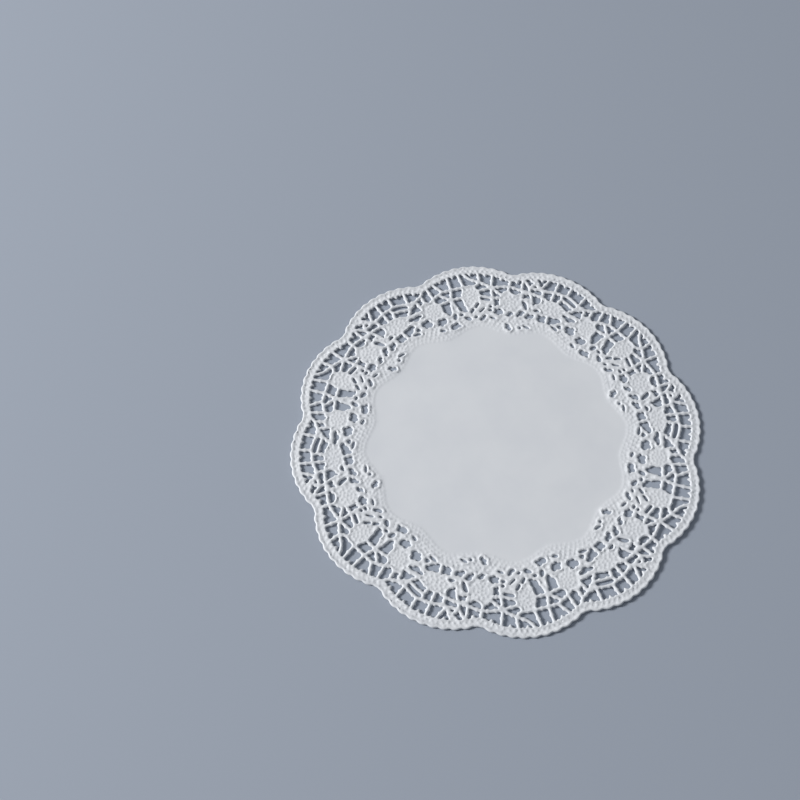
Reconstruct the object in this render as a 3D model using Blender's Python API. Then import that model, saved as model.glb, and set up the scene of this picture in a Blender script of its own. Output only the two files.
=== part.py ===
"""A round paper lace doily, die-cut from one flat sheet.

Twelve scallops run round a plain centre. Each 60 degree repeat holds two scallops and four solid medallions,
joined by a net of thin paper threads. The net is laid out the way lace is: a pricking of named pins, and one
mesh (an open cell) for each ring of pins. A cell's hole is its ring of pins drawn in by half a thread. Holes
along the hem have picots, small points of paper, hanging into them.

Frame: metres, +Z up, origin at the middle of the underside, a scallop's tip on each of +X, +Y, -X and -Y.
"""

import math

import bpy

# Driving sizes, in metres.
RADIUS = 0.1011
THICKNESS = 0.001
THREAD = 0.0015
HEM = 0.0036
BUMP_RISE = 0.0005
BUMP_DEPTH = 0.0012
PICOT_DEPTH = 0.0018
PICOT_HALF_WIDTH = 0.0011

# The scalloped edge: shares of the radius, and counts.
SCALLOPS = 12
TIP_SHARE = 1.0
NOTCH_SHARE = 0.945
BUMPS_A_SCALLOP = 10
POINTS_A_BUMP = 4

# The lace repeats every 60 degrees. Its first notch lies half a scallop before +X.
REPEATS = 6
REPEAT_DEG = 360 / REPEATS
SCALLOP_DEG = 360 / SCALLOPS
START_DEG = -SCALLOP_DEG / 2

PAPER_COLOUR = (0.82, 0.83, 0.85, 1.0)
PAPER_ROUGHNESS = 0.7

# Medallions. A pin on a medallion's edge is named by letter and clock hour, with 12 pointing outwards.
# letter: (angle in degrees, share of the radius, half width, half height as shares)
MEDALLIONS = {
    "A": (14.2, 0.8165, 0.043, 0.0575),
    "B": (29.4, 0.780, 0.046, 0.046),
    "C": (44.4, 0.795, 0.065, 0.040),
    "D": (-0.3, 0.780, 0.054, 0.050),
}

# Pins along the hem, h0, h1 and so on: only their angle, because they lie on the hem's inner line.
HEM_PINS = (
    0.4, 3.3, 6.2, 8.6, 10.9, 13.4, 15.8, 17.3, 19.1, 20.8, 23.4, 26.1, 28.3,
    30.0, 32.6, 35.6, 38.2, 40.8, 43.0, 45.2, 48.1, 50.4, 52.6, 54.4, 56.3, 58.4,
)

# The other pins. name: (angle in degrees, share of the radius).
# r: the ring under the hem's ladder. k: knots between the medallions. f: the foot, next to the plain centre.
PINS = {
    "r0": (0.6, 0.876), "r1": (3.3, 0.873), "r2": (6.8, 0.865), "r3": (8.7, 0.884),
    "r4": (10.6, 0.899), "r5": (12.3, 0.878), "r6": (13.9, 0.924), "r7": (16.2, 0.877),
    "r8": (20.6, 0.874), "r9": (23.6, 0.873), "r10": (25.4, 0.862), "r11": (27.5, 0.847),
    "r12": (31.2, 0.886), "r13": (33.6, 0.871), "r14": (36.3, 0.871), "r15": (38.8, 0.888),
    "r16": (41.1, 0.898), "r17": (42.8, 0.896), "r18": (45.4, 0.896), "r19": (47.4, 0.888),
    "r20": (50.1, 0.888), "r21": (52.1, 0.919), "r22": (53.8, 0.886), "r23": (56.3, 0.862),
    "r24": (58.0, 0.868),
    "k0": (0.9, 0.850), "k1": (3.2, 0.822), "k2": (6.1, 0.744), "k3": (6.4, 0.802),
    "k4": (6.9, 0.775), "k5": (15.5, 0.727), "k6": (16.3, 0.757), "k7": (17.7, 0.721),
    "k8": (19.7, 0.735), "k9": (20.9, 0.785), "k10": (21.5, 0.815), "k11": (22.2, 0.737),
    "k12": (22.2, 0.760), "k13": (23.9, 0.712), "k14": (30.9, 0.843), "k15": (33.0, 0.822),
    "k16": (34.8, 0.797), "k17": (36.5, 0.841), "k18": (36.6, 0.752), "k19": (38.9, 0.804),
    "k20": (39.8, 0.858), "k21": (42.4, 0.869), "k22": (48.9, 0.846), "k23": (49.0, 0.880),
    "k24": (50.8, 0.851), "k25": (51.6, 0.774), "k26": (52.2, 0.818), "k27": (52.2, 0.748),
    "k28": (52.5, 0.833), "k29": (53.1, 0.790), "k30": (53.4, 0.855), "k31": (54.0, 0.742),
    "k32": (54.4, 0.807), "k33": (55.6, 0.845),
    "f0": (1.7, 0.728), "f1": (3.2, 0.750), "f2": (6.7, 0.709), "f3": (4.2, 0.693),
    "f4": (1.8, 0.706), "f5": (7.9, 0.711), "f6": (10.4, 0.709), "f7": (13.0, 0.681),
    "f8": (12.0, 0.660), "f9": (9.7, 0.668), "f10": (19.4, 0.650), "f11": (21.6, 0.689),
    "f12": (25.8, 0.672), "f13": (25.9, 0.640), "f14": (23.6, 0.634), "f15": (25.1, 0.708),
    "f16": (25.9, 0.730), "f17": (29.6, 0.728), "f18": (31.0, 0.690), "f19": (28.6, 0.671),
    "f20": (26.0, 0.683), "f21": (31.0, 0.712), "f22": (32.6, 0.755), "f23": (36.4, 0.745),
    "f24": (36.9, 0.721), "f25": (35.5, 0.694), "f26": (32.7, 0.691), "f27": (37.9, 0.742),
    "f28": (39.7, 0.765), "f29": (44.7, 0.753), "f30": (44.0, 0.697), "f31": (42.6, 0.697),
    "f32": (40.6, 0.713), "f33": (48.8, 0.746), "f34": (48.8, 0.708), "f35": (47.2, 0.694),
    "f36": (49.2, 0.742), "f37": (52.6, 0.738), "f38": (54.1, 0.708), "f39": (52.8, 0.689),
    "f40": (49.3, 0.708), "f41": (54.4, 0.750), "f42": (56.2, 0.745), "f43": (57.4, 0.706),
    "f44": (56.2, 0.690), "f45": (57.0, 0.625), "f46": (59.0, 0.660), "f47": (61.8, 0.662),
    "f48": (61.4, 0.624), "f49": (58.9, 0.605), "f50": (57.1, 0.716), "f51": (58.6, 0.738),
    "f52": (60.4, 0.727), "f53": (62.0, 0.695), "f54": (59.2, 0.690),
}

# The meshes of one repeat, each a ring of pins. A mark ' after a name means that pin of the next repeat.
LADDER = (
    "h0 h1 h2 r2 r1 r0", "h2 h3 h4 r4 r3 r2", "h4 h5 h6 r6 r4", "r4 r6 h6 h7 r7 r5",
    "h7 h8 h9 r8 r7", "h9 h10 h11 r9 r8", "h11 h12 r11 r10 r9", "h12 h13 r12 k14 B12 r11",
    "h13 h14 h15 r14 r13 r12", "h15 h16 h17 r16 r15 r14", "h17 h18 h19 r18 r17 r16",
    "h19 h20 r20 r19 r18", "h20 h21 h22 r20", "r21 h23 h24 r22", "r22 h24 r23 k30",
    "h24 h25 h0' r0' r24 r23",
)
COLLARS = (
    "r0 r1 r2 k1 k0", "r2 r3 r4 r5 A11 A10", "r2 k3 D2 k1", "r2 A10 A9 k3", "k3 A9 A8 k4",
    "D2 k3 k2 D4 D3", "A3 k10 k9 k8 k7 k5 k6 A4", "r7 r8 k10 A3 A2", "r8 r9 r10 k10",
    "k10 r10 r11 B11 B10", "k10 B10 B9 B8 k13 k11 k12", "r12 r13 k15 k14", "r13 k17 k19 B2 k15",
    "r14 r15 r16 r17 k21 k20 k17", "k17 k20 k21 C11.5 C10 k19", "k21 r17 r18 C12.5 C11.5",
    "r18 r19 k23 k22 C1 C12.5", "k23 r20 r22 k30 k24 k22", "k22 k24 k30 k28 k26 k25 C3 C2",
    "k28 k30 k33 D10' k26", "k32 D10' D9' k31 k27 k29", "B3 k16 C9 C8 k18",
    "k33 r23 r24 r0' k0' D12' D11'",
)
FOOT = (
    "f0 f1 k2 f2 f3 f4", "f5 f6 f7 f8 f9", "f10 f11 f12 f13 f14", "f15 f16 f17 f18 f19 f20",
    "f21 f22 f23 f24 f25 f26", "f27 f28 f29 f30 f31 f32", "f29 f33 f34 f35 f30",
    "f36 f37 f38 f39 f40", "f37 f41 f42 f43 f44 f38", "f45 f46 f47 f48 f49", "f50 f51 f52 f53 f54",
)


def clear_scene():
    for obj in list(bpy.data.objects):
        bpy.data.objects.remove(obj)


def polar(angle_deg, radius):
    """A point from its angle in the repeat's own degrees and its distance from the middle."""
    turn = math.radians(START_DEG + angle_deg)
    return (radius * math.cos(turn), radius * math.sin(turn))


def scallop_radius(angle_deg):
    """The smooth scalloped edge: in each scallop, one circular arc from notch to notch through the tip."""
    half = math.radians(SCALLOP_DEG / 2)
    half_chord = NOTCH_SHARE * math.sin(half)
    rise = TIP_SHARE - NOTCH_SHARE * math.cos(half)
    arc_radius = (half_chord**2 + rise**2) / (2 * rise)
    arc_centre = TIP_SHARE - arc_radius
    off_tip = math.radians(angle_deg % SCALLOP_DEG) - half
    reach = math.sqrt(arc_radius**2 - (arc_centre * math.sin(off_tip)) ** 2)
    return RADIUS * (arc_centre * math.cos(off_tip) + reach)


def edge_outline():
    """The outer edge, with small round bumps all along the scallops, one of them on each tip and notch."""
    points = []
    bump_deg = SCALLOP_DEG / BUMPS_A_SCALLOP
    for step in range(SCALLOPS * BUMPS_A_SCALLOP * POINTS_A_BUMP):
        along_bump = step / POINTS_A_BUMP
        bump = BUMP_RISE + BUMP_DEPTH * (abs(math.cos(math.pi * along_bump)) - 1)
        angle = along_bump * bump_deg
        points.append(polar(angle, scallop_radius(angle) + bump))
    return points


def medallion_pin(letter, hour):
    """The point at a clock hour on a medallion's oval edge."""
    angle, share, half_width, half_height = MEDALLIONS[letter]
    clock = math.radians(30 * hour)
    across = half_width * math.sin(clock)
    out = share + half_height * math.cos(clock)
    return angle + math.degrees(math.atan2(across, out)), RADIUS * math.hypot(across, out)


def pin_place(name, repeat):
    """The place of a named pin in a repeat. A trailing ' moves it on by one repeat."""
    turned = REPEAT_DEG * (repeat + name.count("'"))
    name = name.rstrip("'")
    if name.startswith("h"):
        angle = HEM_PINS[int(name[1:])]
        radius = scallop_radius(angle) - HEM
    elif name[0] in MEDALLIONS:
        angle, radius = medallion_pin(name[0], float(name[1:]))
    else:
        angle, share = PINS[name]
        radius = share * RADIUS
    return polar(angle + turned, radius)


def signed_area(ring):
    shifted = ring[1:] + ring[:1]
    return sum(x0 * y1 - x1 * y0 for (x0, y0), (x1, y1) in zip(ring, shifted)) / 2


def drawn_in(ring, distance):
    """The ring with each side moved inwards by a distance, its corners mitred."""
    if signed_area(ring) < 0:
        ring = ring[::-1]
    corners = []
    for place, (x, y) in enumerate(ring):
        before = ring[place - 1]
        after = ring[(place + 1) % len(ring)]
        in_side = (x - before[0], y - before[1])
        out_side = (after[0] - x, after[1] - y)
        in_length = math.hypot(*in_side)
        out_length = math.hypot(*out_side)
        normal_x = -in_side[1] / in_length - out_side[1] / out_length
        normal_y = in_side[0] / in_length + out_side[0] / out_length
        scale = 2 * distance / (normal_x**2 + normal_y**2)
        corners.append((x + scale * normal_x, y + scale * normal_y))
    return corners


def on_hem(point):
    """Whether a corner of a hole lies on the hem."""
    angle = math.degrees(math.atan2(point[1], point[0])) - START_DEG
    return scallop_radius(angle) - math.hypot(*point) < HEM + THREAD


def towards(start, end):
    """A point a picot's half width from a start, or less on a short side, on the way to an end."""
    share = min(PICOT_HALF_WIDTH / math.dist(start, end), 0.45)
    return tuple(a + share * (b - a) for a, b in zip(start, end))


def with_picots(ring):
    """The ring with a picot, a small point of paper, at each corner between two others of the hem."""
    shaped = []
    for place, point in enumerate(ring):
        before = ring[place - 1]
        after = ring[(place + 1) % len(ring)]
        if not (on_hem(before) and on_hem(point) and on_hem(after)):
            shaped.append(point)
            continue
        inwards = 1 - PICOT_DEPTH / math.hypot(*point)
        shaped.append(towards(point, before))
        shaped.append((point[0] * inwards, point[1] * inwards))
        shaped.append(towards(point, after))
    return shaped


def holes():
    """Every hole of the net, over all the repeats."""
    return [
        with_picots(drawn_in([pin_place(name, repeat) for name in mesh.split()], THREAD / 2))
        for repeat in range(REPEATS)
        for mesh in LADDER + COLLARS + FOOT
    ]


def add_ring(curve, points):
    spline = curve.splines.new("POLY")
    spline.points.add(len(points) - 1)
    for point, (x, y) in zip(spline.points, points):
        point.co = (x, y, 0, 1)
    spline.use_cyclic_u = True


def paper_material():
    material = bpy.data.materials.new("doily paper")
    material.use_nodes = True
    shader = material.node_tree.nodes["Principled BSDF"]
    shader.inputs["Base Color"].default_value = PAPER_COLOUR
    shader.inputs["Roughness"].default_value = PAPER_ROUGHNESS
    shader.inputs["Metallic"].default_value = 0.0
    return material


def make_doily(collection):
    curve = bpy.data.curves.new("doily", "CURVE")
    curve.dimensions = "2D"
    curve.fill_mode = "BOTH"
    curve.extrude = THICKNESS / 2
    add_ring(curve, edge_outline())
    for hole in holes():
        add_ring(curve, hole)
    curve.materials.append(paper_material())
    doily = bpy.data.objects.new("doily", curve)
    doily.location.z = THICKNESS / 2
    collection.objects.link(doily)
    return doily


def main():
    clear_scene()
    collection = bpy.data.collections.new("paper lace doily")
    bpy.context.scene.collection.children.link(collection)
    make_doily(collection)


main()
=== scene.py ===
# %% [markdown]
# # A paper lace doily
# A doily is one sheet of soft white paper that a press cuts and embosses in a single stroke. The
# knives punch a few hundred little windows, and the two halves of the embossing tool push the
# strips left between them up into round cords, so that flat paper looks like crocheted thread. The
# middle stays plain and smooth.
#
# The lesson follows the maker's order: lay out one sixth of the sheet with its windows, mesh it,
# press the relief into it, turn it round the middle six times, give it the thickness of paper, and
# lay it on a table in soft light.

# %% Load the solid that the sheet lies on
import math
import random

import bpy
import numpy as np
from mathutils import Matrix, Vector
from mathutils.geometry import delaunay_2d_cdt
from mathutils.kdtree import KDTree


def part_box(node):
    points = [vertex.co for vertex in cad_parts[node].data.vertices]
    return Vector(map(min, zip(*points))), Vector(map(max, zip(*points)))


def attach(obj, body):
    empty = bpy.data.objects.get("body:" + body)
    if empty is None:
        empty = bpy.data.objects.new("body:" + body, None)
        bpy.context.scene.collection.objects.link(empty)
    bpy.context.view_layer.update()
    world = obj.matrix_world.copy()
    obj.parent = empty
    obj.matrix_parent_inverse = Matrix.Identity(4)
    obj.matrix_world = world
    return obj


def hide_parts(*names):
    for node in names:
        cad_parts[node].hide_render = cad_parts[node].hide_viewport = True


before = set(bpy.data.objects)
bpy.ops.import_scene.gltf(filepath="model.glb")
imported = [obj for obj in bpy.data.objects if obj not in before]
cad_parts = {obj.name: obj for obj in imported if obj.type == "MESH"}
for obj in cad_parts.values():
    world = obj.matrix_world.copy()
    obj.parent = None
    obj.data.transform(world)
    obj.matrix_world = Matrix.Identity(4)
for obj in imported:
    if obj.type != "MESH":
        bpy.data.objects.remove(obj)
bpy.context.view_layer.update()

MM = 0.001
MICRONS_A_METRE = 1e6
TOLERANCE = 0.01 * MM
LOW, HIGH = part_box("doily")
BUMP_RISE = 0.5 * MM
RADIUS = HIGH.x - BUMP_RISE
print("solid:", [round((b - a) / MM, 1) for a, b in zip(LOW, HIGH)], "mm")

# %% [markdown]
# ## The repeat
# The lace repeats every 60 degrees, two scallops at a time. Angles in this script are counted
# inside one repeat, from the notch where it begins, because every pin and ornament is easier to
# place that way. `spot` turns such an angle and a share of the radius into a point on the table.
# The radius is that of the smooth scalloped line, which the bumps of the rim stand half a
# millimetre proud of.

# %% Angles and points of one repeat
REPEATS = 6
REPEAT_DEG = 360 / REPEATS
SCALLOP_DEG = 30
BUMP_DEG = 3
START_DEG = -15
HEM = 3.6 * MM
THREAD = 1.5 * MM


def spot(angle_deg, share):
    """The point at an angle of the repeat and a share of the doily's radius."""
    turn = math.radians(START_DEG + angle_deg)
    return Vector((math.cos(turn), math.sin(turn))) * share * RADIUS


def spun(points, turns):
    """The same points in another repeat, so many sixths of a turn on."""
    spin = Matrix.Rotation(math.radians(REPEAT_DEG) * turns, 2)
    return [spin @ p for p in points]


def repeat_angle(p):
    """The angle of a point, counted from the first repeat's notch."""
    return math.degrees(math.atan2(p.y, p.x)) - START_DEG


print("scallops:", 360 // SCALLOP_DEG, " bumps on the rim:", 360 // BUMP_DEG)

# %% [markdown]
# ## Reading the windows off the solid
# The solid already has the outline and the 300 largest windows, so the paper takes them from there
# and the two can't drift apart. An edge that only one triangle of the top face uses is a cut edge.
# Followed from end to end, such edges make closed loops: the longest is the scalloped rim, and
# every other one is a window.

# %% Follow the cut edges of the top face


def cut_loops(node):
    """The closed loops round the top face of a solid, as lists of flat points."""
    mesh = node.data
    ids, points, place, following = {}, [], [], {}
    for v in mesh.vertices:
        key = (round(v.co.x * MICRONS_A_METRE), round(v.co.y * MICRONS_A_METRE))
        if key not in ids:
            ids[key] = len(points)
            points.append(v.co.to_2d())
        place.append(ids[key])
    top = HIGH.z - TOLERANCE
    used = set()
    for face in mesh.polygons:
        if all(mesh.vertices[i].co.z > top for i in face.vertices):
            ring = [place[i] for i in face.vertices]
            used.update(zip(ring, ring[1:] + ring[:1]))
    for a, b in used:
        if (b, a) not in used:
            following[a] = b
    loops = []
    while following:
        start, here = following.popitem()
        loop = [points[start]]
        while here != start:
            loop.append(points[here])
            here = following.pop(here)
        loops.append(loop)
    return sorted(loops, key=len, reverse=True)


RIM, *WINDOWS = cut_loops(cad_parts["doily"])
print("rim points:", len(RIM), " windows:", len(WINDOWS))

# %% [markdown]
# ## Smaller windows
# The press also punches windows too small to matter to the solid, between 1 and 4 mm across. Ten of
# them in each repeat are meshes of the net, given by the pins that a lacemaker would set round them
# and drawn in by half a thread. The smallest are single punched eyelets, each an oval with a place,
# a length, a width and a slant.

# %% The small windows of one repeat
# Each row is a ring of pins, and each pin an angle and a share of the radius.
SMALL_MESHES = (
    ((50.1, 0.888), (52.1, 0.919), (53.8, 0.886)),
    ((8.1, 0.772), (10.6, 0.748), (12.9, 0.724), (11.5, 0.706), (9.3, 0.732)),
    ((10.4, 0.779), (12.3, 0.787), (14.2, 0.755), (12.9, 0.729)),
    ((14.3, 0.763), (16.3, 0.724), (15.2, 0.702), (12.7, 0.738)),
    ((14.4, 0.683), (15.8, 0.706), (19.0, 0.711), (18.9, 0.687), (16.4, 0.665)),
    ((20.5, 0.743), (23.0, 0.732), (23.7, 0.697), (21.8, 0.685), (20.6, 0.705)),
    ((26.2, 0.652), (29.8, 0.675), (32.0, 0.657), (29.1, 0.637)),
    ((36.4, 0.700), (38.1, 0.742), (40.6, 0.712), (39.0, 0.697)),
    ((46.75, 0.760), (49.4, 0.781), (52.2, 0.748), (48.8, 0.746)),
    ((37.4, 0.689), (39.0, 0.709), (43.6, 0.712), (41.2, 0.684), (38.7, 0.677)),
)
# Each row is an angle, a share of the radius, a length and a width in mm, and a slant in degrees.
EYELETS = (
    (7.2, 0.752, 1.7, 1.5, 0),
    (7.4, 0.730, 2.2, 1.5, 0),
    (6.5, 0.684, 3.4, 1.2, -20),
    (13.4, 0.693, 2.0, 1.3, 30),
    (19.2, 0.717, 2.2, 1.5, 0),
    (51.6, 0.652, 4.0, 1.2, -12),
    (54.3, 0.640, 1.6, 1.5, 0),
)

# %% Turn pins and ovals into rings of points
OVAL_POINTS = 8


def drawn_in(ring, gap):
    """Moves each side of a ring of points inwards by the same gap, whichever way it runs."""
    turn = sum(a.cross(b) for a, b in zip(ring, ring[1:] + ring[:1]))
    if turn < 0:
        ring = ring[::-1]
    moved = []
    for before, here, after in zip(ring[-1:] + ring[:-1], ring, ring[1:] + ring[:1]):
        a = (here - before).normalized().orthogonal()
        b = (after - here).normalized().orthogonal()
        moved.append(here + (a + b) * gap / (1 + a.dot(b)))
    return moved


def oval(angle_deg, share, length, width, slant_deg):
    """Points round a small oval, its length along the rim's direction before it is slanted."""
    middle = spot(angle_deg, share)
    turn = math.radians(START_DEG + angle_deg + 90 + slant_deg)
    along = Vector((math.cos(turn), math.sin(turn))) * length * MM / 2
    across = along.orthogonal().normalized() * width * MM / 2
    turns = [math.tau * k / OVAL_POINTS for k in range(OVAL_POINTS)]
    return [middle + along * math.cos(t) + across * math.sin(t) for t in turns]


small = [drawn_in([spot(*pin) for pin in ring], THREAD / 2) for ring in SMALL_MESHES]
small += [oval(*eyelet) for eyelet in EYELETS]
print("small windows in a repeat:", len(small))

# %% [markdown]
# ## Softened corners
# A knife's edge is never as sharp as a drawn polygon, and paper fibres round it further, so every
# corner is cut back and bridged with a curve. A long side also gets a knob in its middle, like the
# small loops along the bars of real lace, where the window is wide enough to stay open. The result
# is resampled, because a mesh shades best when its edge points are evenly spaced. The rim keeps its
# small round bumps, a little shallower than the solid's, and the hem's windows keep the little
# points of paper, called picots, that hang into them.

# %% The scalloped line
NOTCH_SHARE = 0.945


def scallop_radius(angle_deg):
    """The smooth scalloped line that the bumps of the rim stand on."""
    half = math.radians(SCALLOP_DEG / 2)
    half_chord = RADIUS * NOTCH_SHARE * math.sin(half)
    rise = RADIUS - RADIUS * NOTCH_SHARE * math.cos(half)
    arc_radius = (half_chord**2 + rise**2) / (2 * rise)
    off_tip = math.radians(angle_deg % SCALLOP_DEG) - half
    arc_centre = RADIUS - arc_radius
    reach = math.sqrt(arc_radius**2 - (arc_centre * math.sin(off_tip)) ** 2)
    return arc_centre * math.cos(off_tip) + reach


def rim_depth(p):
    """How far a point lies inside the smooth scalloped line."""
    return scallop_radius(repeat_angle(p)) - p.length


print("radius at a tip and a notch, mm:", [round(scallop_radius(a) / MM, 1) for a in (15, 0)])

# %% Helpers for lines and rings of points


def evenly(points, step):
    """Points at even steps along a line."""
    xy = np.array([tuple(p) for p in points])
    run = np.concatenate([[0], np.cumsum(np.hypot(*np.diff(xy, axis=0).T))])
    at = np.linspace(0, run[-1], max(2, round(run[-1] / step) + 1))
    return [Vector(q) for q in zip(np.interp(at, run, xy[:, 0]), np.interp(at, run, xy[:, 1]))]


def inside(points, ring):
    """Which of the points lie inside a closed ring."""
    p = np.array([tuple(q) for q in points])
    a = np.array([tuple(q) for q in ring])
    b = np.roll(a, -1, axis=0)
    hit = np.zeros(len(p), bool)
    for (x0, y0), (x1, y1) in zip(a, b):
        if y0 == y1:
            continue
        spans = (y0 > p[:, 1]) != (y1 > p[:, 1])
        hit ^= spans & (p[:, 0] < (x1 - x0) * (p[:, 1] - y0) / (y1 - y0) + x0)
    return hit


# %% Shape one window
CORNER_CUT = 0.95 * MM
HEM_CORNER_CUT = 0.45 * MM
LONGEST_CUT = 0.45
CURVE = (0, 0.25, 0.5, 0.75, 1)
EDGE_STEP = 0.60 * MM
KNOB_DEPTH = 0.65 * MM
KNOB_HALF = 0.65 * MM
KNOB_SIDE = 2.3 * MM
KNOB_ROOM = 1.9 * MM


def knobbed(ring):
    """Adds a knob in the middle of each long side, where the window is wide enough for one."""
    shaped = []
    for here, after in zip(ring, ring[1:] + ring[:1]):
        shaped.append(here)
        middle, run = (here + after) / 2, (after - here).normalized()
        inwards = run.orthogonal()
        if (after - here).length > KNOB_SIDE and inside([middle + inwards * KNOB_ROOM], ring)[0]:
            shaped.append(middle - run * KNOB_HALF)
            shaped.append(middle + inwards * KNOB_DEPTH)
            shaped.append(middle + run * KNOB_HALF)
    return shaped


def softened(ring):
    """A window with its corners cut back and curved, its points at even steps."""
    curve = []
    for before, here, after in zip(ring[-1:] + ring[:-1], ring, ring[1:] + ring[:1]):
        back, on = before - here, after - here
        cut = HEM_CORNER_CUT if rim_depth(here) < HEM + 2 * THREAD else CORNER_CUT
        a = here + back.normalized() * min(cut, LONGEST_CUT * back.length)
        b = here + on.normalized() * min(cut, LONGEST_CUT * on.length)
        for t in CURVE:
            curve.append(a * (1 - t) ** 2 + here * 2 * t * (1 - t) + b * t**2)
    return evenly(curve + curve[:1], EDGE_STEP)[:-1]


windows = [softened(ring) for ring in small]
print("points round the small windows:", sum(map(len, windows)))

# %% Shape the rim
BUMP_SHARE = 0.7
RIM_ROUNDING = 0.1


def softened_rim(loop):
    """The rim with shallower bumps and curved corners, and two points for each of the solid's."""
    shallow = []
    for p in loop:
        depth = BUMP_SHARE * (rim_depth(p) + BUMP_RISE) - BUMP_RISE
        shallow.append(p.normalized() * (scallop_radius(repeat_angle(p)) - depth))
    smooth = []
    previous, following = shallow[-1:] + shallow[:-1], shallow[1:] + shallow[:1]
    for before, here, after in zip(previous, shallow, following):
        smooth.append(here * (1 - 2 * RIM_ROUNDING) + (before + after) * RIM_ROUNDING)
        smooth.append((here + after) / 2)
    return smooth


rim = softened_rim(RIM)
print("points on the whole rim:", len(rim))

# %% [markdown]
# ## Cutting out one sixth
# A seam drawn at random would slice through windows, and the cut pieces would then show. This one
# runs from the middle to a notch through solid paper all the way: through the plain centre, a
# medallion and a net cord. The other side of the sector is the same seam turned by 60 degrees, so
# neighbouring sectors meet point for point.

# %% The seam and the rim of one sector
CENTRE_STEP = 4.0 * MM
SEAM_STEP = 0.66 * MM
SEAM = (
    (2.0, 0.57), (2.0, 0.66), (1.85, 0.70), (1.5, 0.73),
    (1.0, 0.78), (0.9, 0.850), (0.6, 0.876), (0.4, 0.908),
)

if sum(a.cross(b) for a, b in zip(rim, rim[1:] + rim[:1])) < 0:
    rim.reverse()
notch = spot(0, NOTCH_SHARE)
first = min(range(len(rim)), key=lambda i: (rim[i] - notch).length)
rim = rim[first:] + rim[:first]
rim = rim[: len(rim) // REPEATS + 1]
seam = evenly([Vector((0, 0)), spot(*SEAM[0])], CENTRE_STEP)[:-1]
seam += evenly([spot(*pin) for pin in SEAM] + [rim[0]], SEAM_STEP)
rim[-1] = spun(rim[:1], 1)[0]
sector = seam + rim[1:] + spun(seam, 1)[-2:0:-1]
print("rim points:", len(rim), " seam points:", len(seam))

# %% Pick the solid's windows that lie in the sector
middles = [sum(ring, Vector((0, 0))) / len(ring) for ring in WINDOWS]
chosen = inside(middles, sector)
picked = [softened(knobbed(ring[::-1])) for ring, mine in zip(WINDOWS, chosen) if mine]
windows = picked + windows
print("windows in the sector:", len(windows))

# %% [markdown]
# ## How far is it to the nearest cut?
# Embossing follows the cuts: the paper is lowest at a cut edge and highest half a thread in. So
# nearly everything below, from the spacing of mesh points to the height of the relief, asks one
# question of a point: how far is the nearest cut? A k-d tree over closely spaced points of every
# cut edge answers it quickly. The neighbours' windows are in it too, or the two sides of a seam
# would not agree.

# %% The distance to the nearest cut edge
CUT_STEP = 0.15 * MM
fine = [evenly(ring + ring[:1], CUT_STEP) for ring in windows] + [evenly(rim, CUT_STEP)]
cut_points = [q for line in fine for turns in (-1, 0, 1) for q in spun(line, turns)]
tree = KDTree(len(cut_points))
for index, q in enumerate(cut_points):
    tree.insert(q.to_3d(), index)
tree.balance()


def to_cut(p):
    """The distance from a point to the nearest cut edge."""
    return tree.find(p.to_3d())[2]


print("points on cut edges:", len(cut_points))

# %% [markdown]
# ## Where the mesh gets its points
# A good mesh has its points where the shape turns. Rows of points run beside each cut: one on the
# flank of the cord and one on its ridge. Each boss of the ornament gets a point on its top and six
# round it, and an even grid fills the rest, coarse in the flat centre. Each new point is kept only
# if it isn't too close to one that is already there, so the points that matter most come first.

# %% Keep points apart
CELL = 0.5 * MM
grid = {}
inner = []


def crowded(p, gap):
    """Whether a point so far is nearer than the gap, which can be up to two cells."""
    column, row = math.floor(p.x / CELL), math.floor(p.y / CELL)
    for i in range(column - 2, column + 3):
        for j in range(row - 2, row + 3):
            for q in grid.get((i, j), ()):
                if (p - q).length < gap:
                    return True
    return False


def note(p):
    """Files a point under its cell of the grid."""
    grid.setdefault((math.floor(p.x / CELL), math.floor(p.y / CELL)), []).append(p)


def add_points(points, gap, from_cut):
    """Adds those points that lie in the paper, clear of every cut and of the points so far."""
    points = [p for p in points if to_cut(p) > from_cut]
    keep = inside(points, sector)
    for ring in windows:
        keep &= ~inside(points, ring)
    count = len(inner)
    for p, good in zip(points, keep):
        if good and not crowded(p, gap):
            inner.append(p)
            note(p)
    return len(inner) - count


def beside(line, closed, offset):
    """Points at an offset from a line, on both sides."""
    found = []
    count = len(line)
    for i in range(count):
        if closed:
            before, after = line[i - 1], line[(i + 1) % count]
        else:
            before, after = line[max(i - 1, 0)], line[min(i + 1, count - 1)]
        side = (after - before).orthogonal().normalized() * offset
        found += [line[i] + side, line[i] - side]
    return found


for ring in [sector] + windows:
    for p in ring:
        note(p)
print("points on the outlines:", sum(map(len, grid.values())))

# %% Rows along the cuts
FLANK = 0.36 * MM
RIDGE = 0.75 * MM
edges = [(ring, True) for ring in windows] + [(rim, False)]
flank = [p for line, closed in edges for p in beside(line, closed, FLANK)]
ridge = [p for line, closed in edges for p in beside(line, closed, RIDGE)]
print("flank points:", add_points(flank, gap=0.34 * MM, from_cut=0.31 * MM))
print("ridge points:", add_points(ridge, gap=0.38 * MM, from_cut=0.60 * MM))

# %% [markdown]
# ## The ornament
# Wherever the paper is wider than a thread, the press dots it with seeds, small round bosses that
# catch the light as the stitches of real lace do. In the hem each bump of the rim holds a large
# seed, with two smaller ones below it. A medallion has rings of low seeds, like the eye of a daisy.
# The foot of the lace, next to the plain centre, has them in staggered courses, lowest where the
# centre begins and set a little unevenly. A k-d tree of all the seeds gives the height of the
# ornament at any point, however the mesh is laid out.

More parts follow.
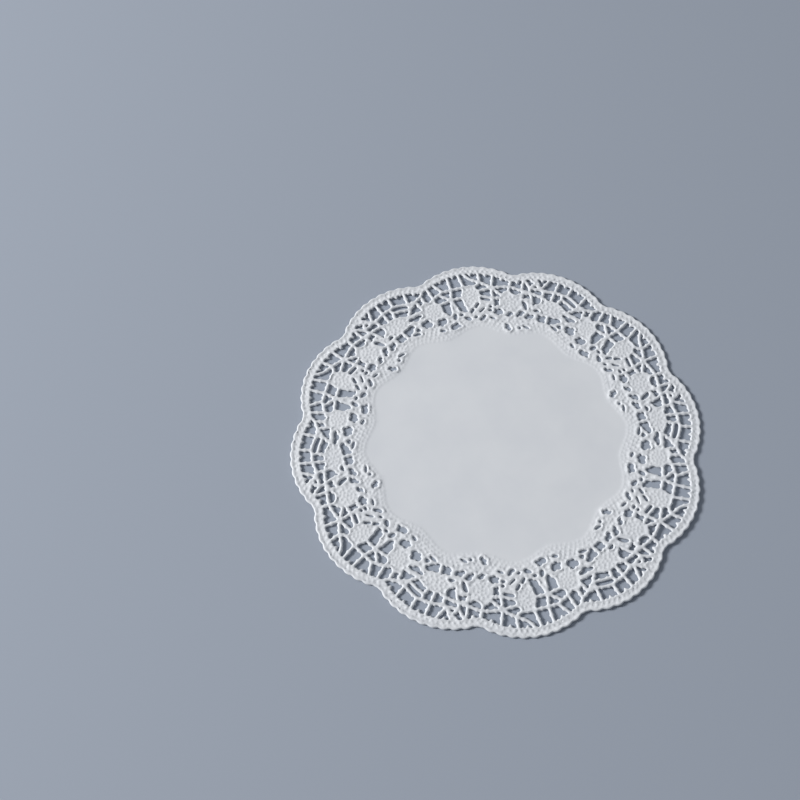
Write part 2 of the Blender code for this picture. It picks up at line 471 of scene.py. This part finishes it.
# %% The medallions and the edge of the plain centre
# Each row is a middle's angle and share of the radius, then the half width and half height.
MEDALLIONS = (
    (14.2, 0.8165, 0.043, 0.0575),
    (29.4, 0.780, 0.046, 0.046),
    (44.4, 0.795, 0.065, 0.040),
    (59.7, 0.780, 0.054, 0.050),
)
PLAIN_SHARE = 0.616
WAVE_SHARE = 0.022
WAVE_START_DEG = 13.5


def in_medallion(p):
    """The nearest medallion's reach at a point: 0 at its middle and 1 on its edge."""
    found = []
    for angle, share, half_width, half_height in MEDALLIONS:
        for turn in (0, REPEAT_DEG):
            across = math.radians(repeat_angle(p) - angle + turn) * p.length / RADIUS
            found.append(math.hypot(across / half_width, (p.length / RADIUS - share) / half_height))
    return min(found)


def foot_radius(angle):
    """Where the plain centre ends: a wavy line, furthest out under the middle of a scallop."""
    wave = math.cos(math.radians(angle - WAVE_START_DEG) * 360 / SCALLOP_DEG)
    return RADIUS * (PLAIN_SHARE + WAVE_SHARE * wave)


print("medallions in a repeat:", len(MEDALLIONS))

# %% Sow the seeds
BUMPS_A_REPEAT = round(REPEAT_DEG / BUMP_DEG)
# Each row is a place along a bump, a depth below the rim and a size.
HEM_SEEDS = (
    (0, 1.15 * MM, 0.85 * MM),
    (0.25, 2.85 * MM, 0.70 * MM),
    (0.75, 2.85 * MM, 0.70 * MM),
)
# Each row is a radius as a share of the medallion's, and a number of seeds.
MEDALLION_RINGS = ((0, 1), (0.38, 6), (0.72, 12))
MEDALLION_SEED = 0.58 * MM
KEEP_OFF_MEDALLION = 1.1
FOOT_SEED = 0.62 * MM
SEEDS_A_COURSE = 32
COURSES = 19
COURSE = 1.75 * MM
FIRST_COURSE = 0.9 * MM
UNEVEN = 0.25 * MM
seeds = []


def sow(p, size, height, clear):
    """Sets a seed in every repeat unless a cut edge is too near."""
    if to_cut(p) > clear:
        seeds.extend((q, size, height) for turns in (-1, 0, 1) for q in spun([p], turns))


for k in range(BUMPS_A_REPEAT):
    for shift, depth, size in HEM_SEEDS:
        angle = (k + shift) * BUMP_DEG
        p = spot(angle, (scallop_radius(angle) - depth) / RADIUS)
        sow(p, size, height=0.95, clear=1.0 * MM)
for angle, share, half_width, half_height in MEDALLIONS:
    for ring, count in MEDALLION_RINGS:
        for k in range(count):
            turn = math.tau * (k + 0.5) / count
            across = math.degrees(ring * half_width * math.cos(turn) / share)
            p = spot(angle + across, share + ring * half_height * math.sin(turn))
            sow(p, MEDALLION_SEED, height=0.78, clear=1.2 * MM)
rng = random.Random(12)
for course in range(COURSES):
    for k in range(SEEDS_A_COURSE):
        angle = (k + 0.5 * (course % 2)) * REPEAT_DEG / SEEDS_A_COURSE
        radius = foot_radius(angle) + FIRST_COURSE + COURSE * course
        astray = Vector((rng.uniform(-UNEVEN, UNEVEN), rng.uniform(-UNEVEN, UNEVEN)))
        p = spot(angle, radius / RADIUS) + astray
        if in_medallion(p) > KEEP_OFF_MEDALLION and rim_depth(p) > HEM + THREAD:
            sow(p, FOOT_SEED, height=min(0.35 + 0.25 * course, 0.9), clear=1.15 * MM)
print("seeds in a repeat:", len(seeds) // 3)

# %% The height of the ornament
BETWEEN_SEEDS = 0.10
seed_tree = KDTree(len(seeds))
for index, (p, _, _) in enumerate(seeds):
    seed_tree.insert(p.to_3d(), index)
seed_tree.balance()


def seed_relief(p):
    """The height of the ornament at a point."""
    best = BETWEEN_SEEDS
    for _, index, distance in seed_tree.find_n(p.to_3d(), 2):
        _, size, height = seeds[index]
        best = max(best, height * math.exp(-((distance / size) ** 2)))
    return best


medallion_middle = spot(*MEDALLIONS[0][:2])
print("ornament in the first medallion's middle:", round(seed_relief(medallion_middle), 2))

# %% Points on the ornament
SIXTHS = [k * math.tau / 6 for k in range(6)]
ROSETTE_SHARE = 0.85


def rosette(middle, size):
    """A point and six more round it, which is what a small boss needs to look round."""
    return [middle] + [middle + Vector((math.cos(turn), math.sin(turn))) * size for turn in SIXTHS]


bosses = [q for p, size, _ in seeds for q in rosette(p, ROSETTE_SHARE * size)]
print("seed points:", add_points(bosses, gap=0.42 * MM, from_cut=0.60 * MM))

# %% An even grid for the rest
ROW_SHARE = 0.866
LACE_START = 0.585
TRANSITION_START = 0.56
CENTRE_END = 0.555
LACE_STEP = 0.74 * MM
TRANSITION_STEP = 1.3 * MM


def honeycomb(low, high, step):
    """An even triangular grid over the sector, between two shares of the radius."""
    found = []
    rows = math.ceil(RADIUS / step / ROW_SHARE)
    for j in range(-rows, rows + 1):
        for i in range(-rows, rows + 1):
            p = Vector(((i + 0.5 * (j % 2)) * step, j * step * ROW_SHARE))
            if low * RADIUS < p.length <= high * RADIUS:
                found.append(p)
    return found


fill = honeycomb(LACE_START, 1.0, LACE_STEP)
print("lace fill:", add_points(fill, gap=0.58 * MM, from_cut=0.9 * MM))
fill = honeycomb(TRANSITION_START, LACE_START, TRANSITION_STEP)
print("transition:", add_points(fill, gap=0.98 * MM, from_cut=MM))


def off_seam(p):
    """The distance to the nearer straight part of the two seams."""
    first_angle = SEAM[0][0]
    return min(abs(p.cross(spot(first_angle + turn, 1).normalized())) for turn in (0, REPEAT_DEG))


fill = [p for p in honeycomb(0, CENTRE_END, CENTRE_STEP) if off_seam(p) > 0.5 * CENTRE_STEP]
print("plain centre:", add_points(fill, gap=0.98 * MM, from_cut=MM))

# %% [markdown]
# ## Triangles
# A constrained Delaunay triangulation joins the points into triangles as even as the points allow
# and keeps every cut edge as an edge. It also reports which ring each triangle lies in, so the ones
# inside a window are left out. Two attributes go with the points: `relief`, the height that the
# press gives each, and `lace`, 1 in the lace and 0 in the plain centre, which the paper's material
# reads.

# %% Triangulate the sector
SAME_POINT = 1e-7
CUT_TO_OUTLINE = 1
points = sector + [p for ring in windows for p in ring] + inner
rings = [list(range(len(sector)))]
for ring in windows:
    start = rings[-1][-1] + 1
    rings.append(list(range(start, start + len(ring))))
spots, _, triangles, _, _, owners = delaunay_2d_cdt(points, [], rings, CUT_TO_OUTLINE, SAME_POINT)
paper_faces = [face for face, owner in zip(triangles, owners) if owner == [0]]
corners = ((spots[a], spots[b], spots[c]) for a, b, c in paper_faces)
flat_area = sum(abs((b - a).cross(c - a)) / 2 for a, b, c in corners)
print("points:", len(spots), " triangles:", len(paper_faces))

# %% Press the relief into it
# Each pair is how far from a cut a cord reaches its ridge, and how far its ridge goes on.
CORD = (0.75 * MM, 1.10 * MM)
HEM_CORD = (0.60 * MM, 0.70 * MM)
MEDALLION_CORD = (0.65 * MM, 0.80 * MM)
CORD_FALL = 0.5 * MM
MEDALLION_REACH = 1.15


def ease(x):
    """0 below 0, 1 above 1, and a smooth rise between."""
    x = min(max(x, 0), 1)
    return x * x * (3 - 2 * x)


def relief(p):
    """The embossed height at a point, 1 at the ridge of a cord, and its share of lace, 0 to 1."""
    cut = to_cut(p)
    half, crest = CORD
    if rim_depth(p) < HEM + THREAD / 2:
        half, crest = HEM_CORD
    elif in_medallion(p) < MEDALLION_REACH:
        half, crest = MEDALLION_CORD
    lace = ease((p.length - foot_radius(repeat_angle(p))) / MM + 0.5)
    cord = math.sin(math.pi / 2 * min(cut / half, 1))
    fall = ease((cut - crest) / CORD_FALL)
    height = cord * (1 - fall) + seed_relief(p) * lace * fall
    return height, max(lace, 1 - ease((cut - CORD[1]) / MM))


heights, laces = zip(*(relief(p) for p in spots))
mesh = bpy.data.meshes.new("sector")
mesh.from_pydata([p.to_3d() for p in spots], [], paper_faces)
for name, values in (("relief", heights), ("lace", laces)):
    mesh.attributes.new(name, "FLOAT", "POINT").data.foreach_set("value", values)
paper_sheet = bpy.data.objects.new("doily_paper", mesh)
bpy.context.scene.collection.objects.link(paper_sheet)
print("highest relief:", round(max(heights), 2))
print("triangles that face up:", sum(f.normal.z > 0 for f in mesh.polygons))

# %% [markdown]
# ## The paper
# Doily paper is uncoated, off-white with a cool cast and slightly fuzzy. The press leaves the
# middle almost polished, while the lace keeps a toothed, matt surface. One material does both: the
# `lace` attribute moves the roughness and lets the tooth fade out towards the middle. The grain is
# in object coordinates, so it stays put on the sheet.

# %% Helpers for node trees


def add_node(tree, kind, **inputs):
    """A new node, with values or links for its inputs."""
    node = tree.nodes.new(kind)
    for key, value in inputs.items():
        plug(tree, node, key.replace("_", " "), value)
    return node


def plug(tree, node, key, value):
    """Links a socket to a node's input, or sets the input to a plain value."""
    socket = node.inputs[key]
    if isinstance(value, bpy.types.NodeSocket):
        tree.links.new(value, socket)
    else:
        socket.default_value = value


# %% The paper's material
CLOUD_DARK = (0.780, 0.795, 0.825, 1)
CLOUD_LIGHT = (0.815, 0.828, 0.852, 1)
POLISHED, MATT = 0.48, 0.78


def paper_material():
    """Cool white paper, polished where it is plain and toothed where it is lace."""
    material = bpy.data.materials.new("doily paper")
    material.use_nodes = True
    tree = material.node_tree
    shader = tree.nodes["Principled BSDF"]
    place = add_node(tree, "ShaderNodeTexCoord").outputs["Object"]
    lace = add_node(tree, "ShaderNodeAttribute")
    lace.attribute_name = "lace"
    clouds = add_node(tree, "ShaderNodeTexNoise", Vector=place, Scale=45.0, Detail=3.0)
    fibre = add_node(
        tree, "ShaderNodeTexNoise", Vector=place, Scale=1900.0, Detail=4.0, Roughness=0.65,
    )
    tooth = add_node(tree, "ShaderNodeTexVoronoi", Vector=place, Scale=1150.0, Randomness=0.75)
    tint = tree.nodes.new("ShaderNodeValToRGB")
    stops = tint.color_ramp.elements
    for stop, position, colour in zip(stops, (0.35, 0.65), (CLOUD_DARK, CLOUD_LIGHT)):
        stop.position = position
        stop.color = colour
    plug(tree, tint, "Fac", clouds.outputs["Fac"])
    plug(tree, shader, "Base Color", tint.outputs["Color"])
    gloss = add_node(tree, "ShaderNodeMapRange", Value=lace.outputs["Fac"])
    gloss.inputs["To Min"].default_value = POLISHED
    gloss.inputs["To Max"].default_value = MATT
    plug(tree, shader, "Roughness", gloss.outputs["Result"])
    coarse = tree.nodes.new("ShaderNodeMath")
    coarse.operation = "MULTIPLY"
    plug(tree, coarse, 0, tooth.outputs["Distance"])
    plug(tree, coarse, 1, lace.outputs["Fac"])
    dents = add_node(
        tree, "ShaderNodeBump", Strength=0.25, Distance=0.00010, Height=coarse.outputs["Value"],
    )
    grain = add_node(
        tree, "ShaderNodeBump", Strength=0.35, Distance=0.00005, Height=fibre.outputs["Fac"],
        Normal=dents.outputs["Normal"],
    )
    plug(tree, shader, "Normal", grain.outputs["Normal"])
    shader.inputs["Specular IOR Level"].default_value = 0.35
    return material


PAPER = paper_material()
print("material:", PAPER.name)

# %% [markdown]
# ## One tree for the rest
# Everything that is left follows a rule, so one Geometry Nodes tree does it, with the sizes as
# named inputs: raise the sector by its relief, set six of them round the middle, weld the seams,
# let the lace lift a little off the table as limp paper does, and give the sheet its thickness. The
# thickness goes straight down, like a cut through a stack, so even the steep flanks of the cords
# can't cross themselves. The press pushes the underside up with the top, so the cords are hollow
# below. Paper shades smoothly except along a cut, where the edge stays crisp.

# %% Build the tree
CRISP_ANGLE = math.radians(55)


def paper_tree():
    """The node tree that turns one flat sector into the whole embossed sheet."""
    tree = bpy.data.node_groups.new("press and turn", "GeometryNodeTree")
    face = tree.interface
    face.new_socket("Sector", in_out="INPUT", socket_type="NodeSocketGeometry")
    face.new_socket("Repeats", in_out="INPUT", socket_type="NodeSocketInt")
    for name in ("Emboss height", "Lift", "Lift start", "Radius", "Paper thickness"):
        face.new_socket(name, in_out="INPUT", socket_type="NodeSocketFloat")
    face.new_socket("Paper", in_out="INPUT", socket_type="NodeSocketMaterial")
    face.new_socket("Sheet", in_out="OUTPUT", socket_type="NodeSocketGeometry")
    given = tree.nodes.new("NodeGroupInput").outputs

    def math_node(operation, *values):
        node = tree.nodes.new("ShaderNodeMath")
        node.operation = operation
        for index, value in enumerate(values):
            plug(tree, node, index, value)
        return node.outputs[0]

    def upwards(height):
        return add_node(tree, "ShaderNodeCombineXYZ", Z=height).outputs[0]

    relief_value = add_node(tree, "GeometryNodeInputNamedAttribute", Name="relief")
    height = math_node("MULTIPLY", relief_value.outputs["Attribute"], given["Emboss height"])
    pressed = add_node(
        tree, "GeometryNodeSetPosition", Geometry=given["Sector"], Offset=upwards(height),
    )

    turn = math_node("DIVIDE", math.tau, given["Repeats"])
    index = add_node(tree, "GeometryNodeInputIndex").outputs[0]
    around = add_node(tree, "GeometryNodePoints", Count=given["Repeats"])
    six = add_node(
        tree, "GeometryNodeInstanceOnPoints", Points=around.outputs[0], Instance=pressed.outputs[0],
        Rotation=upwards(math_node("MULTIPLY", turn, index)),
    )
    real = add_node(tree, "GeometryNodeRealizeInstances", Geometry=six.outputs[0])
    whole = add_node(
        tree, "GeometryNodeMergeByDistance", Geometry=real.outputs[0], Distance=TOLERANCE,
    )

    place = add_node(tree, "GeometryNodeInputPosition").outputs[0]
    length = tree.nodes.new("ShaderNodeVectorMath")
    length.operation = "LENGTH"
    plug(tree, length, 0, place)
    outward = add_node(tree, "ShaderNodeMapRange", Value=length.outputs["Value"])
    outward.interpolation_type = "SMOOTHSTEP"
    plug(tree, outward, "From Min", given["Lift start"])
    plug(tree, outward, "From Max", given["Radius"])
    waves = add_node(tree, "ShaderNodeTexNoise", Vector=place, Scale=16.0, Detail=1.0)
    wavy = math_node("MULTIPLY", outward.outputs[0], waves.outputs[0])
    lifted = math_node("MULTIPLY", given["Lift"], wavy)
    laid = add_node(
        tree, "GeometryNodeSetPosition", Geometry=whole.outputs[0], Offset=upwards(lifted),
    )

    thickness = upwards(given["Paper thickness"])
    raised = add_node(tree, "GeometryNodeExtrudeMesh", Mesh=laid.outputs[0], Offset=thickness)
    raised.inputs["Offset Scale"].default_value = 1
    raised.inputs["Individual"].default_value = False
    below = add_node(tree, "GeometryNodeFlipFaces", Mesh=laid.outputs[0])
    both = tree.nodes.new("GeometryNodeJoinGeometry")
    plug(tree, both, 0, below.outputs[0])
    plug(tree, both, 0, raised.outputs[0])
    closed = add_node(
        tree, "GeometryNodeMergeByDistance", Geometry=both.outputs[0], Distance=TOLERANCE,
    )
    smooth = add_node(tree, "GeometryNodeSetShadeSmooth", Geometry=closed.outputs[0])
    bend = add_node(tree, "GeometryNodeInputMeshEdgeAngle").outputs["Unsigned Angle"]
    crisp = add_node(tree, "GeometryNodeSetShadeSmooth", Geometry=smooth.outputs[0])
    crisp.domain = "EDGE"
    plug(tree, crisp, "Selection", math_node("GREATER_THAN", bend, CRISP_ANGLE))
    plug(tree, crisp, "Shade Smooth", False)
    painted = add_node(
        tree, "GeometryNodeSetMaterial", Geometry=crisp.outputs[0], Material=given["Paper"],
    )
    plug(tree, tree.nodes.new("NodeGroupOutput"), 0, painted.outputs[0])
    return tree


TREE = paper_tree()
print("nodes in the tree:", len(TREE.nodes))

# %% Run the tree on the sector


def run_tree(obj, tree, values):
    """Runs a tree on an object and keeps the result as its plain mesh."""
    modifier = obj.modifiers.new(tree.name, "NODES")
    modifier.node_group = tree
    items = tree.interface.items_tree
    sockets = {item.name: item.identifier for item in items if item.in_out == "INPUT"}
    for name, value in values.items():
        modifier[sockets[name]] = value
    ready = obj.evaluated_get(bpy.context.evaluated_depsgraph_get())
    result = bpy.data.meshes.new_from_object(ready)
    obj.modifiers.remove(modifier)
    old, obj.data = obj.data, result
    bpy.data.meshes.remove(old)
    result.name = obj.name


SIZES = {
    "Repeats": REPEATS,
    "Emboss height": 0.65 * MM,
    "Lift": 1.3 * MM,
    "Lift start": 0.5 * RADIUS,
    "Radius": RADIUS,
    "Paper thickness": 0.18 * MM,
    "Paper": PAPER,
}
run_tree(paper_sheet, TREE, SIZES)
levels = [v.co.z / MM for v in paper_sheet.data.vertices]
print("triangles:", sum(len(f.vertices) - 2 for f in paper_sheet.data.polygons))
print("lowest and highest, mm:", round(min(levels), 2), round(max(levels), 2))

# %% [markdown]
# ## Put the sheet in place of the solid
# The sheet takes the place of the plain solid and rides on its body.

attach(paper_sheet, "root")
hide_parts("doily")
print("declared:", paper_sheet.name)

# %% [markdown]
# ## The table, the light and the camera
# White lace shows only against something darker and only in light from one side. The table is pale
# but a good step darker than the paper. A large soft lamp stands low on the left, so that every
# cord has a bright flank and a soft shadow, and a weak even light fills the rest.

# %% The table
FLOOR_HALF = 20.0
FLOOR_DROP = 0.02 * MM
TABLE_COLOUR = (0.38, 0.42, 0.49, 1)
FLOOR_CORNERS = [
    (x * FLOOR_HALF, y * FLOOR_HALF, -FLOOR_DROP) for x, y in ((-1, -1), (1, -1), (1, 1), (-1, 1))
]
floor_mesh = bpy.data.meshes.new("table")
floor_mesh.from_pydata(FLOOR_CORNERS, [], [(0, 1, 2, 3)])
floor = bpy.data.objects.new("table", floor_mesh)
bpy.context.scene.collection.objects.link(floor)
floor_material = bpy.data.materials.new("table")
floor_material.use_nodes = True
floor_shader = floor_material.node_tree.nodes["Principled BSDF"]
floor_shader.inputs["Base Color"].default_value = TABLE_COLOUR
floor_shader.inputs["Roughness"].default_value = 0.9
floor_mesh.materials.append(floor_material)
print("table colour:", TABLE_COLOUR[:3])

# %% The camera
VIEW_TURN = math.radians(21.992)
VIEW_RISE = math.radians(62.12)
VIEW_DISTANCE = 6.1616 * RADIUS
AIM = (-0.4685 * RADIUS, 0.2128 * RADIUS)
right = Vector((math.cos(VIEW_TURN), math.sin(VIEW_TURN), 0))
ahead = Vector((-math.sin(VIEW_TURN), math.cos(VIEW_TURN), 0))
back = -ahead * math.cos(VIEW_RISE) + Vector((0, 0, math.sin(VIEW_RISE)))
eye = right * AIM[0] + ahead * AIM[1] + back * VIEW_DISTANCE
camera_data = bpy.data.cameras.new("camera")
camera_data.lens = 56.25
camera_data.sensor_width = 36
camera_data.clip_start = 0.01
camera = bpy.data.objects.new("camera", camera_data)
axes = Matrix((right, back.cross(right), back)).transposed()
camera.matrix_world = Matrix.Translation(eye) @ axes.to_4x4()
bpy.context.scene.collection.objects.link(camera)
bpy.context.scene.camera = camera
print("camera distance, m:", round(VIEW_DISTANCE, 3))

# %% The light


def soft_lamp(name, direction, distance, size, power):
    """A square lamp that faces the doily's middle, its direction told as the camera sees it."""
    data = bpy.data.lights.new(name, "AREA")
    data.energy = power
    data.size = size
    sideways, forwards, up = direction
    towards = (right * sideways + ahead * forwards + Vector((0, 0, up))).normalized()
    facing = towards.to_track_quat("Z", "Y").to_matrix().to_4x4()
    lamp = bpy.data.objects.new(name, data)
    lamp.matrix_world = Matrix.Translation(towards * distance) @ facing
    bpy.context.scene.collection.objects.link(lamp)


soft_lamp("key", direction=(-0.88, 0.10, 0.50), distance=3.0, size=0.70, power=94.0)
world = bpy.data.worlds.new("studio")
world.use_nodes = True
fill_light = world.node_tree.nodes["Background"]
fill_light.inputs["Color"].default_value = (0.86, 0.92, 1.0, 1)
fill_light.inputs["Strength"].default_value = 0.26
bpy.context.scene.world = world
bpy.context.scene.view_settings.view_transform = "Standard"
print("strength of the even light:", round(fill_light.inputs["Strength"].default_value, 2))
